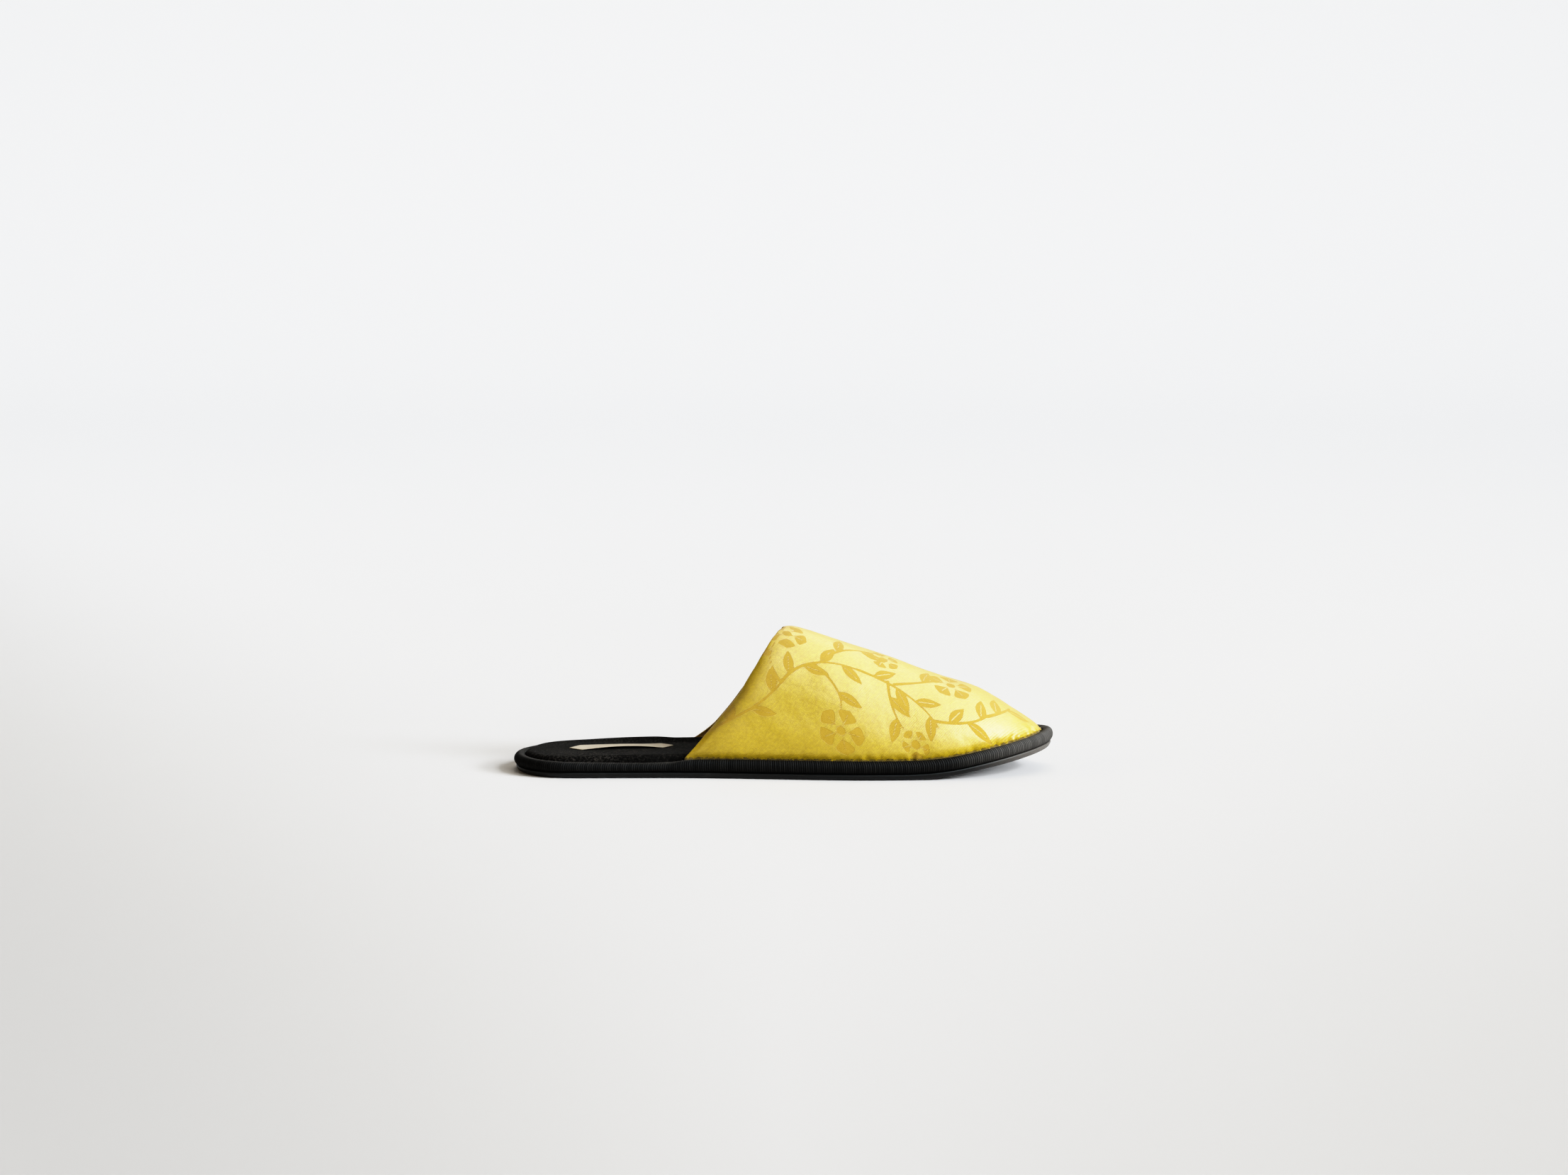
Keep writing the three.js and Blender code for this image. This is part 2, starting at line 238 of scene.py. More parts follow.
def collar_at(turn):
    """Where the collar cuts the upper across a section."""
    steep = np.clip(np.abs(np.cos(turn)) / LEAD_FROM, 0, 1)
    full = steep * (3 - steep**2) / 2
    medial = np.where(np.cos(turn) < 0, full, 0)
    x = np.full_like(turn, WING_AT)
    for _ in range(COLLAR_ROUNDS):
        share = (upper_point(x, turn, 0)[..., 2] - FEATHER_HEIGHT) / (COLLAR_TOP - FEATHER_HEIGHT)
        lead = LEAD_LOW + (LEAD_HIGH - LEAD_LOW) * smoothstep(share, *LEAD_RISE)
        lead -= MEDIAL_SWEEP * np.maximum(0, 1 - share / SWEEP_SHARE) ** 2
        bow = COLLAR_BOW * skewed(share, BOW_POWER)
        dent = DENT_DEPTH * np.exp(-(((share - DENT_AT) / DENT_SHARE) ** 2))
        x = WING_AT + (COLLAR_TOP_AT - WING_AT) * share + lead * medial + dent * (full - medial) + bow
    from_top = np.clip(np.abs(turn - math.pi / 2) / THROAT_HALF, 0, 1)
    waver = soft_noise(turn * COLLAR_TOP / 2, np.zeros_like(turn), WAVER_SIZE, WAVER_SEED)
    return x + THROAT_DIP * (1 - from_top**2) ** 2 + COLLAR_WAVER * waver


# Meshes
MAP_GAP = 2  # millimetres between the islands of a flat map
MAP_GROWTH = 1.03  # the map's square grows by this until its islands fit


def path_lengths(points, along=0):
    """Length along lines of points, down one axis."""
    steps = np.linalg.norm(np.diff(points, axis=along), axis=-1)
    return np.concatenate([0 * steps.take([0], along), np.cumsum(steps, axis=along)], along)


def ringed(values, along=0):
    """The values with the first ones again at the end."""
    return np.concatenate([values, values.take([0], along)], along)


def grid_normals(points, closed=False):
    """Unit normals of a grid of points, seen from where rows then columns turn left."""
    if closed:
        slopes = [np.roll(points, -1, k) - np.roll(points, 1, k) for k in (0, 1)]
    else:
        slopes = np.gradient(points, axis=(0, 1))
    normals = np.cross(*slopes)
    return normals / np.maximum(np.linalg.norm(normals, axis=-1, keepdims=True), 1e-9)


def placed(name, data):
    made = bpy.data.objects.new(name, data)
    bpy.context.scene.collection.objects.link(made)
    return made


def smooth_mesh(name, points, faces, materials):
    mesh = bpy.data.meshes.new(name)
    mesh.from_pydata(points, [], faces, shade_flat=False)
    for material in materials:
        mesh.materials.append(material)
    return mesh


class Piece:
    """One mesh in the making: corners with their fields, and patches of faces with a flat map each."""

    def __init__(self, name):
        self.name = name
        self.points, self.fields, self.patches = [], [], []

    def add(self, points, **fields):
        """Adds corners and gives their numbers, in the same arrangement."""
        flat = points.reshape(-1, 3)
        ids = np.arange(len(flat)).reshape(points.shape[:-1]) + sum(map(len, self.points))
        self.points.append(flat)
        self.fields.append(fields)
        return ids

    def grid(self, ids, u, v, slot=0, flip=False):
        """Quads over a grid of corner numbers. u and v are the flat map's lengths."""
        flat = np.stack(np.broadcast_arrays(u, v), -1)
        around = [np.s_[:-1, :-1], np.s_[1:, :-1], np.s_[1:, 1:], np.s_[:-1, 1:]][:: -1 if flip else 1]
        quads = np.stack([ids[s] for s in around], -1).reshape(-1, 4)
        corners = np.stack([flat[s] for s in around], -2).reshape(-1, 4, 2)
        self.patches.append((quads, corners, slot))

    def ladder(self, fine, coarse, width, slot=0, flip=False):
        """Triangles between a line of corners and one with half as many steps."""
        left, foot = np.arange(len(coarse) - 1.0), np.zeros(len(coarse) - 1)
        spots = {
            "a": (fine[:-2:2], left, foot),
            "m": (fine[1:-1:2], left + 0.5, foot),
            "b": (fine[2::2], left + 1, foot),
            "c": (coarse[:-1], left, foot + width),
            "d": (coarse[1:], left + 1, foot + width),
        }
        triangles, corners = [], []
        for names in ("amc", "mdc", "mbd"):
            around = [spots[name] for name in names[:: -1 if flip else 1]]
            triangles.append(np.stack([spot[0] for spot in around], -1))
            corners.append(np.stack([np.stack(spot[1:], -1) for spot in around], -2))
        self.patches.append((np.concatenate(triangles), np.concatenate(corners), slot))

    def islands(self):
        """Places the patches' flat maps on shelves in one square, the tallest first."""
        boxes = [(c.min((0, 1)), c.max((0, 1))) for _, c, _ in self.patches]
        sizes = [high - low for low, high in boxes]
        order = sorted(range(len(sizes)), key=lambda k: -sizes[k][1])
        side = max(math.sqrt(sum(w * h for w, h in sizes)), np.max(sizes) + 2 * MAP_GAP)
        while True:
            places, x, y, shelf = {}, MAP_GAP, MAP_GAP, 0
            for k in order:
                if x + sizes[k][0] + MAP_GAP > side:
                    x, y, shelf = MAP_GAP, y + shelf + MAP_GAP, 0
                places[k] = np.array([x, y]) - boxes[k][0]
                x += sizes[k][0] + MAP_GAP
                shelf = max(shelf, sizes[k][1])
            if y + shelf + MAP_GAP <= side:
                return [(c + places[k]) / side for k, (_, c, _) in enumerate(self.patches)]
            side *= MAP_GROWTH

    def build(self, node, slot, *materials):
        """The finished object, which rides on the root and hides the solid node that it stands for. slot is
        not used.
        """
        faces, flat, slots = [], [], []
        for (patch, _, number), corners in zip(self.patches, self.islands()):
            for face, spots in zip(patch.tolist(), corners.tolist()):
                kept = [k for k in range(len(face)) if face[k] != face[k - 1]]
                if len({face[k] for k in kept}) < 3:
                    continue
                faces.append([face[k] for k in kept])
                flat.extend(spots[k] for k in kept)
                slots.append(number)
        points = (np.concatenate(self.points) - ORIGIN) * MM
        mesh = smooth_mesh(self.name, points.tolist(), faces, materials)
        mesh.uv_layers.new(name="OFBake", do_init=False).data.foreach_set("uv", np.ravel(flat))
        mesh.polygons.foreach_set("material_index", slots)
        for name in sorted({n for fields in self.fields for n in fields}):
            pairs = zip(self.points, self.fields)
            parts = [np.ravel(fields.get(name, np.zeros(len(part)))) for part, fields in pairs]
            data = mesh.attributes.new(name, "FLOAT", "POINT").data
            data.foreach_set("value", np.concatenate(parts).astype(np.float32))
        piece = placed(self.name, mesh)
        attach(piece, "root")
        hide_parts(node)
        return piece


# Materials
class Look:
    """A procedural material in the making, with short calls that add nodes."""

    def __init__(self, name, **constants):
        self.material = bpy.data.materials.new(name)
        self.material.use_nodes = True
        self.tree = self.material.node_tree
        self.shader = self.tree.nodes["Principled BSDF"]
        for socket, value in constants.items():
            self.put(self.shader.inputs[socket.replace("_", " ")], value)

    def node(self, kind, inputs, output=0, **settings):
        made = self.tree.nodes.new(kind)
        for name, value in settings.items():
            setattr(made, name, value)
        for socket, value in inputs.items():
            self.put(made.inputs[socket], value)
        return made.outputs[output]

    def put(self, socket, value):
        """Links a node's output to the socket, or sets a number or the named shade on it."""
        if isinstance(value, bpy.types.NodeSocket):
            self.tree.links.new(value, socket)
        else:
            socket.default_value = (*SHADES[value], 1) if isinstance(value, str) else value

    def field(self, name):
        return self.node("ShaderNodeAttribute", {}, "Fac", attribute_name=name)

    def cloth(self):
        """The place on the flat cloth, from the lengths along and across it."""
        return self.pair(self.field("cloth_u"), self.field("cloth_v"))

    def place(self):
        return self.node("ShaderNodeTexCoord", {}, "Object")

    def pair(self, u, v):
        return self.node("ShaderNodeCombineXYZ", {0: u, 1: v})

    def math(self, operation, a, b=0):
        return self.node("ShaderNodeMath", {0: a, 1: b}, operation=operation)

    def add(self, a, b):
        return self.math("ADD", a, b)

    def times(self, a, b):
        return self.math("MULTIPLY", a, b)

    def swing(self, noise, size):
        """A noise to both sides of nothing."""
        return self.times(self.math("SUBTRACT", noise, 0.5), size)

    def length(self, along, across, scale):
        """The length in one direction of the flat cloth, times a scale."""
        u, v = self.times(self.field("cloth_u"), along), self.times(self.field("cloth_v"), across)
        return self.times(self.add(u, v), scale)

    def wave(self, direction, pitch):
        """A wave from -1 to 1 in a direction of the flat cloth."""
        return self.math("SINE", self.length(*direction, math.tau / pitch))

    def ramp(self, value, name):
        inputs = dict(enumerate((value, *RAMPS[name])))
        return self.node("ShaderNodeMapRange", inputs, interpolation_type="SMOOTHSTEP")

    def noise(self, place, name):
        scale, detail, rough = NOISES[name]
        inputs = {"Vector": place, "Scale": scale, "Detail": detail, "Roughness": rough}
        return self.node("ShaderNodeTexNoise", inputs)

    def mix(self, share, a, b):
        """Between two colours, which this node takes in at 6 and 7 and gives at 2."""
        return self.node("ShaderNodeMix", {0: share, 6: a, 7: b}, 2, data_type="RGBA")

    def over(self, base, **shares):
        """Named shades over a base, each by its share."""
        for name, share in shares.items():
            base = self.mix(share, base, name)
        return base

    def colour(self, *mixed):
        self.put(self.shader.inputs["Base Color"], self.mix(*mixed))

    def roughness(self, *ramped):
        self.put(self.shader.inputs["Roughness"], self.ramp(*ramped))

    def bump(self, height, strength, distance):
        inputs = {"Strength": strength, "Distance": distance * MM, "Height": height}
        self.put(self.shader.inputs["Normal"], self.node("ShaderNodeBump", inputs))


# Colours: the shares of red, green and blue light that they throw back
SHADES = dict(
    sheen=(1, 0.72, 0.42), ground=(0.585, 0.417, 0.011),
    ground_deep=(0.54, 0.382, 0.009), weft_deep=(0.33, 0.205, 0.003),
    weft=(0.5, 0.32, 0.006), twill=(0.4, 0.275, 0.01), worn=(0.36, 0.245, 0.006),
    # the collar's dark colour on the next line is painted shade
    fleck=(0.39, 0.265, 0.006), stitch=(0.3, 0.17, 0.01), soil=(0.2, 0.115, 0.002),
    # the seam colour on the next line is a painted shadow
    seam=(0.045, 0.025, 0.004), lining_deep=(0.8, 0.56, 0.17), lining=(0.9, 0.66, 0.25),
    # the rib colours on the next two lines are painted shade in the valleys and a painted highlight on the
    # tops
    rib_valley=(0.0012, 0.0012, 0.0012), rib_valley_pale=(0.003, 0.0029, 0.0027),
    rib_top=(0.01, 0.0097, 0.0092), rib_top_pale=(0.026, 0.0252, 0.0238),
    # the paler rib colours for the toe are painted light
    rib_toe_lit=(0.06, 0.057, 0.052), rib_toe_lit_pale=(0.15, 0.142, 0.131),
    rib_toe_lit_valley=(0.025, 0.0238, 0.0218), nap=(0.005, 0.0047, 0.0042),
    speck=(0.055, 0.0515, 0.0455), rubber=(0.008, 0.0078, 0.0072),
    # the rubber's paler toe colour on the next line is painted light
    scuff=(0.016, 0.0155, 0.0145), rubber_toe_lit=(0.11, 0.1, 0.088),
    tape_deep=(0.42, 0.365, 0.275), tape=(0.66, 0.6, 0.475), paper_deep=(0.78, 0.78, 0.78),
    # the paper's grey far colour on the next line is painted shade
    paper=(0.8, 0.8, 0.8), paper_shaded=(0.55, 0.547, 0.54),
)
# Noises: scale, detail and roughness. The scale is hills in each millimetre of flat cloth, and from the nap
# on in each metre.
NOISES = dict(
    grain=(2.6, 3, 0.6), streaks=(1, 4, 0.6), crinkle=(0.3, 4, 0.6), drift=(0.035, 2, 0.5),
    flecks=(0.8, 3, 0.7), fray=(0.55, 2, 0.7), lining=(2.2, 3, 0.6), threads=(2.4, 2, 0.6),
    tape=(3, 3, 0.6), nap=(900, 4, 0.75), cloud=(45, 3, 0.5), rubber=(260, 4, 0.6),
    scuffs=(70, 5, 0.7), paper=(400, 2, 0.5),
)
# Ramps: a value between the first two becomes one between the last two. For the rubber's painted light at the
# toe: metres towards the toe.
RAMPS = dict(
    figure=(-0.12, 0.12, 1, 0), outline=(0.104, 0.26, 0.6, 0), dots=(-0.5, 0.3, 0, 1),
    twill=(-1, 1, 0, 0.4), worn=(0.38, 0.66, 0, 0.45), flecks=(0.42, 0.62, 0, 0.65),
    soil=(0.25, 0.75, 0.35, 0.85), seam=(0.25, 0.8, 0.75, 0), specks=(0.42, 0.72, 0, 1),
    cloud=(0.25, 0.7, 0.3, 1), scuffs=(0.56, 0.75, 0, 1), rubber_toe_light=(0.085, 0.135, 0, 1),
    paper_shade_fade=(0.05, 1, 0, 1), satin_rough=(0, 1, 0.46, 0.95),
    lining_rough=(0.2, 0.8, 0.45, 0.6), ribbon_rough=(0.25, 0.75, 0.48, 0.68),
    suede_rough=(0.2, 0.8, 0.8, 1), rubber_rough=(0.3, 0.7, 0.4, 0.55),
    tape_rough=(0.2, 0.8, 0.6, 0.8), paper_rough=(0, 1, 0.85, 0.95),
)
TWILL_PITCH = 0.75  # between the satin's diagonal lines
# Directions of the cloth: across these lines, along them, and from dot to dot of the outline
TWILL = (math.cos(math.radians(35)), math.sin(math.radians(35)))
STREAK = (-TWILL[1], TWILL[0])
DOTS = (TWILL[1], TWILL[0])
STREAK_ACROSS, STREAK_ALONG = 1.0, 0.22  # waves in each millimetre of the cloth's streaks
FIGURE_RAG, SEAM_RAG = 0.35, 3.6  # how ragged the figure's edge and the painted shadow line above the welt are
DOT_PITCH = 0.9
TWILL_RISE, GRAIN_RISE, STREAK_RISE, FIGURE_SINK = 0.12, 0.4, 0.5, 0.3  # shares of the satin's relief


def satin():
    """Pale shiny ground, deeper and duller figure, and a dotted outline where the two weaves meet. Painted
    shade darkens a band along the collar and a line above the welt.
    """
    look = Look("satin", IOR=1.6, Sheen_Weight=0.2, Sheen_Roughness=0.4, Sheen_Tint="sheen")
    place = look.cloth()
    names = ("grain", "crinkle", "drift", "flecks", "fray")
    grain, crinkle, drift, flecks, fray = (look.noise(place, name) for name in names)
    across, along = look.length(*TWILL, STREAK_ACROSS), look.length(*STREAK, STREAK_ALONG)
    mottle = look.noise(look.pair(across, along), "streaks")
    edge = look.add(look.field("figure"), look.swing(grain, FIGURE_RAG))
    figure = look.ramp(edge, "figure")
    line = look.ramp(look.math("ABSOLUTE", edge), "outline")
    dots = look.ramp(look.wave(DOTS, DOT_PITCH), "dots")
    stitched = look.times(line, dots)
    twill = look.wave(TWILL, TWILL_PITCH)
    lines = look.ramp(twill, "twill")
    worn = look.ramp(mottle, "worn")
    flecks = look.ramp(flecks, "flecks")
    # Painted shade along the collar, with an edge made ragged by the crinkle noise
    soil = look.times(look.field("soil"), look.ramp(crinkle, "soil"))
    # Painted shadow: a ragged dark line just above the welt, where the cloth turns into the seam
    frayed = look.add(look.field("seam"), look.swing(fray, SEAM_RAG))
    seam = look.ramp(frayed, "seam")
    ground = look.mix(drift, "ground", "ground_deep")
    ground = look.over(ground, twill=lines, worn=worn, fleck=flecks)
    weft = look.mix(grain, "weft_deep", "weft")
    colour = look.mix(figure, ground, weft)
    look.colour(seam, look.over(colour, stitch=stitched, soil=soil), "seam")
    dull = look.math("MAXIMUM", look.math("MAXIMUM", figure, seam), soil)
    look.roughness(dull, "satin_rough")
    thread = look.add(look.times(twill, TWILL_RISE), look.times(grain, GRAIN_RISE))
    height = look.add(thread, look.add(crinkle, look.times(mottle, STREAK_RISE)))
    look.bump(look.math("SUBTRACT", height, look.times(figure, FIGURE_SINK)), 0.8, 0.2)
    return look.material


def lining():
    """Plain brown-gold satin inside the upper."""
    look = Look("lining", Specular_IOR_Level=0.1)
    grain = look.noise(look.cloth(), "lining")
    look.colour(grain, "lining_deep", "lining")
    look.roughness(grain, "lining_rough")
    twill = look.wave(TWILL, TWILL_PITCH)
    look.bump(look.add(twill, grain), 0.3, 0.06)
    return look.material


def ribbon():
    """Black grosgrain: its ribs are in the mesh, with a painted highlight on their tops, painted shade in
    their valleys and painted light at the toe.
    """
    look = Look("ribbon", Specular_IOR_Level=0.05)
    along, across = look.field("rib_along"), look.field("rib_across")
    threads = look.noise(look.pair(along, across), "threads")
    crest = look.field("rib_crest")
    valley = look.mix(threads, "rib_valley", "rib_valley_pale")
    top = look.mix(threads, "rib_top", "rib_top_pale")
    worn = look.mix(threads, "rib_toe_lit", "rib_toe_lit_pale")
    # Painted light on the ribbon's outer side towards the toe
    top = look.mix(look.field("wear"), top, worn)
    valley = look.mix(look.field("wear"), valley, "rib_toe_lit_valley")
    # Painted highlight on the ribs' tops and painted shade in their valleys
    look.colour(crest, valley, top)
    look.roughness(threads, "ribbon_rough")
    look.bump(threads, 0.3, 0.05)
    return look.material


def suede():
    """Black napped cloth with pale specks."""
    look = Look("suede", Specular_IOR_Level=0.03)
    place = look.place()
    nap = look.noise(place, "nap")
    cloud = look.noise(place, "cloud")
    specks = look.times(look.ramp(nap, "specks"), look.ramp(cloud, "cloud"))
    look.colour(specks, "nap", "speck")
    look.roughness(nap, "suede_rough")
    look.bump(nap, 0.5, 0.15)
    return look.material


def rubber():
    """Smooth black rubber with faint scuffs, and painted light that makes it paler towards the toe."""
    look = Look("rubber", Specular_IOR_Level=0.25)
    place = look.place()
    mottle = look.noise(place, "rubber")
    scuff = look.ramp(look.noise(place, "scuffs"), "scuffs")
    plain = look.mix(scuff, "rubber", "scuff")
    # Painted light: paler towards the toe, where light from the floor falls on it
    toe = look.ramp(look.node("ShaderNodeSeparateXYZ", {0: place}), "rubber_toe_light")
    look.colour(toe, plain, "rubber_toe_lit")
    look.roughness(mottle, "rubber_rough")
    look.bump(mottle, 0.15, 0.05)
    return look.material


WARP_PITCH, WEFT_PITCH = 0.7, 0.5  # of the label's weave


def tape():
    """Cream ribbon in a fine plain weave."""
    look = Look("tape", Specular_IOR_Level=0.1)
    grain = look.noise(look.cloth(), "tape")
    weave = look.times(look.wave((1, 0), WARP_PITCH), look.wave((0, 1), WEFT_PITCH))
    look.colour(grain, "tape_deep", "tape")
    look.roughness(grain, "tape_rough")
    look.bump(look.add(weave, grain), 0.4, 0.08)
    return look.material


# How fast the paper greys by painted shade, in each metre: to the front, to both sides, and past the heel
PAPER_FRONT, PAPER_SIDES, PAPER_HEEL = 0.7, 1.5, 0.3


def paper():
    """The studio's pale floor and backdrop, greyed by painted shade away from the shoe."""
    look = Look("paper", Specular_IOR_Level=0.2)
    place = look.place()
    grain = look.noise(place, "paper")
    x = look.node("ShaderNodeSeparateXYZ", {0: place})
    sides = look.times(look.math("ABSOLUTE", x), PAPER_SIDES)
    front = look.times(x.node.outputs["Y"], -PAPER_FRONT)
    away = look.add(sides, look.add(look.times(x, -PAPER_HEEL), front))
    pale = look.mix(grain, "paper_deep", "paper")
    # Painted shade: the paper greys away from the shoe, for light falling off and a long faint shadow past
    # the heel
    look.colour(look.ramp(away, "paper_shade_fade"), pale, "paper_shaded")
    look.roughness(grain, "paper_rough")
    return look.material


# The woven figure, on the flat cloth: u is the place along the shoe, v the girth from the ridge, lateral is +
STEM_HALF, STEM_TIP, STEM_POINTS = 0.75, 0.4, 14  # half a stem's width at its root and tip
LEAF_LENGTH, LEAF_WIDTH, LEAF_BELLY = 13, 5.2, 0.85
LEAF_SPREAD = math.radians(42)  # between a leaf and its stem
VEIN_HALF, VEIN_REACH = 0.28, (0.15, 0.72)  # a leaf's or petal's middle line, in shares of its length
LEAF_FIRST, LEAF_SPARE = 0.8, 0.3  # in gaps between leaves: before the first, and left over
PETALS = 5
PETAL_BELLY, PETAL_WIDTH = 1.7, 0.8  # the width is a share of the blossom's radius
EYE = 2.4  # radius of a blossom's middle
FAR = 99.0  # further than any part of the figure

# Stems from root to tip, bowed through a middle point. leaves: how many, in turn on each side.
STEMS = rows(
    "root_u root_v mid_u mid_v tip_u tip_v leaves",
    (95, 72, 117, 61, 131, 41, 3), (131, 41, 142, 22, 168, 24, 4),
    (168, 24, 196, 26, 207, 43, 4), (131, 41, 122, 30, 128, 19, 1),
    (147, 27.5, 161, 37, 160, 47, 1), (186, 26, 199, 20, 207, 13, 1),
    (205, 40, 222, 39, 231, 27, 3), (183, 25.5, 183, 40, 190, 48, 2),
    (231, 27, 240, 19, 243, 9, 2), (152, 23, 162, 10, 176, 6, 2),
)
# Blossoms at their middles. radius: to the petals' ends. turn: of the first petal, in degrees.
BLOSSOMS = rows(
    "u v radius turn",
    (134, 11.5, 10, 20), (160, 58, 11.5, 75), (214, 12.6, 11, 50), (196, 54, 7, 10), (181, 9.4, 8, 35),
)
MEDIAL_SHIFT = 5  # the medial side repeats the lateral one, this much nearer the toe


def blade(along, across, length, width, belly):
    """Signed distance of a leaf or petal from its root, with its middle line cut out."""
    share = np.clip(along / length, 0, 1)
    body = np.abs(across) - width / 2 * np.sin(math.pi * share**belly)
    past = np.hypot(along - share * length, across)
    form = np.where((along > 0) & (along < length), body, past)
    first, last = (length * share for share in VEIN_REACH)
    vein = np.hypot(along - np.clip(along, first, last), across) - VEIN_HALF
    return np.maximum(form, -vein)


def turned(u, v, at_u, at_v, angle):
    du, dv = u - at_u, v - at_v
    return du * math.cos(angle) + dv * math.sin(angle), dv * math.cos(angle) - du * math.sin(angle)


def stroke(u, v, line):
    """Signed distance of a tapering stem along a line of points."""
    nearest = np.full_like(u, FAR)
    widths = np.linspace(STEM_HALF, STEM_TIP, len(line))
    for a, b, half in zip(line[:-1], line[1:], widths):
        run = b - a
        share = np.clip(((u - a[0]) * run[0] + (v - a[1]) * run[1]) / (run @ run), 0, 1)
        nearest = np.minimum(nearest, np.hypot(u - a[0] - share * run[0], v - a[1] - share * run[1]) - half)
    return nearest


def bowed(stem):
    t = np.linspace(0, 1, STEM_POINTS)[:, None]
    root, middle, tip = (np.array([stem[k + "_u"], stem[k + "_v"]]) for k in ("root", "mid", "tip"))
    return root * (1 - t) ** 2 + 2 * middle * t * (1 - t) + tip * t**2


def sprig(u, v, stem):
    line = bowed(stem)
    form = stroke(u, v, line)
    for k in range(stem["leaves"]):
        spot = int((k + LEAF_FIRST) / (stem["leaves"] + LEAF_SPARE) * (STEM_POINTS - 1))
        run = line[min(spot + 1, STEM_POINTS - 1)] - line[spot - 1]
        side = 1 if k % 2 else -1
        angle = math.atan2(run[1], run[0]) + side * LEAF_SPREAD
        along, across = turned(u, v, *line[spot], angle)
        form = np.minimum(form, blade(along, across, LEAF_LENGTH, LEAF_WIDTH, LEAF_BELLY))
    return form


def blossom(u, v, flower):
    from_eye = np.hypot(u - flower["u"], v - flower["v"]) - EYE
    form = from_eye
    for k in range(PETALS):
        angle = math.radians(flower["turn"]) + math.tau * k / PETALS
        along, across = turned(u, v, flower["u"], flower["v"], angle)
        length, width = flower["radius"] - EYE, flower["radius"] * PETAL_WIDTH
        form = np.minimum(form, blade(along - EYE, across, length, width, PETAL_BELLY))
    ring = np.abs(from_eye) - VEIN_HALF
    return np.maximum(form, -ring)


def woven_figure(u, v):
    """Signed distance from the figure's edge, inside is negative."""
    u = np.where(v < 0, u - MEDIAL_SHIFT, u)
    v = np.abs(v)
    sprigs = [sprig(u, v, stem) for stem in STEMS]
    return np.minimum.reduce(sprigs + [blossom(u, v, flower) for flower in BLOSSOMS])


# Upper: a padded shell with its cloth turned in at the collar and gathered into the welt
# The collar's turned edge. off: from the collar line. depth: inside the outer face, as a share of the roll's.
COLLAR_EDGE = rows(
    "off depth",
    (0.15, 1.3), (-0.15, 1.15), (0, 0.97), (0.35, 0.82), (0.9, 0.66), (1.6, 0.5),
    (2.5, 0.35), (3.6, 0.21), (5, 0.1), (6.6, 0.03), (8.5, 0),
)
# How far the padded edge rolls in: at the ridge, the sides and the seam
ROLL_RIDGE, ROLL_SIDE, ROLL_FOOT = 1.5, 4.8, 0.8
ROLL_FADE = (0.04, 0.3)  # the roll grows over these shares of the ridge's height
ROLL_WAVER = 0.25
ROLL_OUT = 2.0  # how far the roll stands out of the collar line, at the ridge
ROLL_WALL = 0.9  # the wall's thickness left at the edge
# Main creases. side: lateral is -1. at: along the seam from the toe. reach: up the cloth. lean: of its top.
CREASES = rows(
    "side at reach width depth lean",
    (-1, 13, 13, 1.2, 0.9, 9), (-1, 32, 7, 0.9, 0.9, -2),
    (-1, 28, 5, 0.8, 0.5, 1), (-1, 40, 8, 1.2, 0.55, 2),
    (-1, 52, 10, 1.4, 0.5, 2), (-1, 64, 7, 1.1, 0.5, 1),
    (-1, 83, 8, 1.2, 0.45, 1), (-1, 104, 9, 1.3, 0.4, 2),
    (1, 5, 12, 1.2, 0.6, 4), (1, 16, 9, 1.2, 0.55, 2),
    (1, 30, 8, 1.2, 0.5, 2), (1, 45, 7, 1.3, 0.4, 1),
)
# Small gathers between them, each drawn by chance
GATHERS = rows("of low high", ("reach", 2.5, 8), ("width", 0.6, 1.3), ("depth", 0.25, 0.65), ("lean", -1, 1))
GATHER_GAPS, GATHER_SEED = (1.8, 4.4), 11
SHADE_REACH, SHADE_FOOT, SHADE_TOP = (0.8, 8), (14, 27), (56, 36)  # painted shade: the cloth is darker along the collar's sides, where it rolls in away from the light
SHADE_EDGE = (0.7, 2.6)  # the painted shade stops short of the lateral fold itself
WIDE_SHADE_REACH, WIDE_SHADE_SHARE = (3, 24), 0.33  # a wider band of painted shade along the collar, a little darker
FOLD_SHOULDER, FOLD_REACH = 0.4, 2.0  # ridges beside each trough: their height share, and place in widths
FOLD_FOOT, FOLD_FADE = (-1.5, 2.0), 1.5  # a fold deepens over these heights, and fades up by this power
TUCK_DEPTH, TUCK_REACH = 0.4, 0.8  # the cloth turns into the seam
SWELL_OUT, SWELL_FOOT, SWELL_FADE = 0.9, (0, 5), (30, 8)  # it swells over the welt, and flattens higher up
SWELL_GIRTH = (20, 45)  # half girths over which this grows, behind the toe's tip
HOLLOW_DEPTH, HOLLOW_AT, HOLLOW_WIDTH, HOLLOW_FADE = 0.6, 5.0, 3.5, (45, 5)  # along the lower collar
EDGE_CALM = (0.5, 4)  # the collar's edge is smooth up to here
SWELLS = rows("size height seed", (26, 0.35, 3), (11, 0.2, 5), (5, 0.07, 6), (2.6, 0.025, 8))


def seam_distance(x, side):
    """Length along the feather line from the toe's tip."""
    places = UPPER_TIP - SAMPLES**2 * (UPPER_TIP - WING_AT)
    line = np.stack([places, axis(places) + side * half_width(places, FEATHER_INSET)], -1)
    return np.interp(-x, -places, path_lengths(line))


def gathers(side):
    """The main creases of one side, and the small gathers between them."""
    chance = np.random.default_rng(GATHER_SEED + side)
    found = [crease for crease in CREASES if crease["side"] == side]
    at = 0.0
    while at < LENGTH:
        at += chance.uniform(*GATHER_GAPS)
        fold = {row["of"]: chance.uniform(row["low"], row["high"]) for row in GATHERS}
        found.append({"at": at, **fold})
    return found


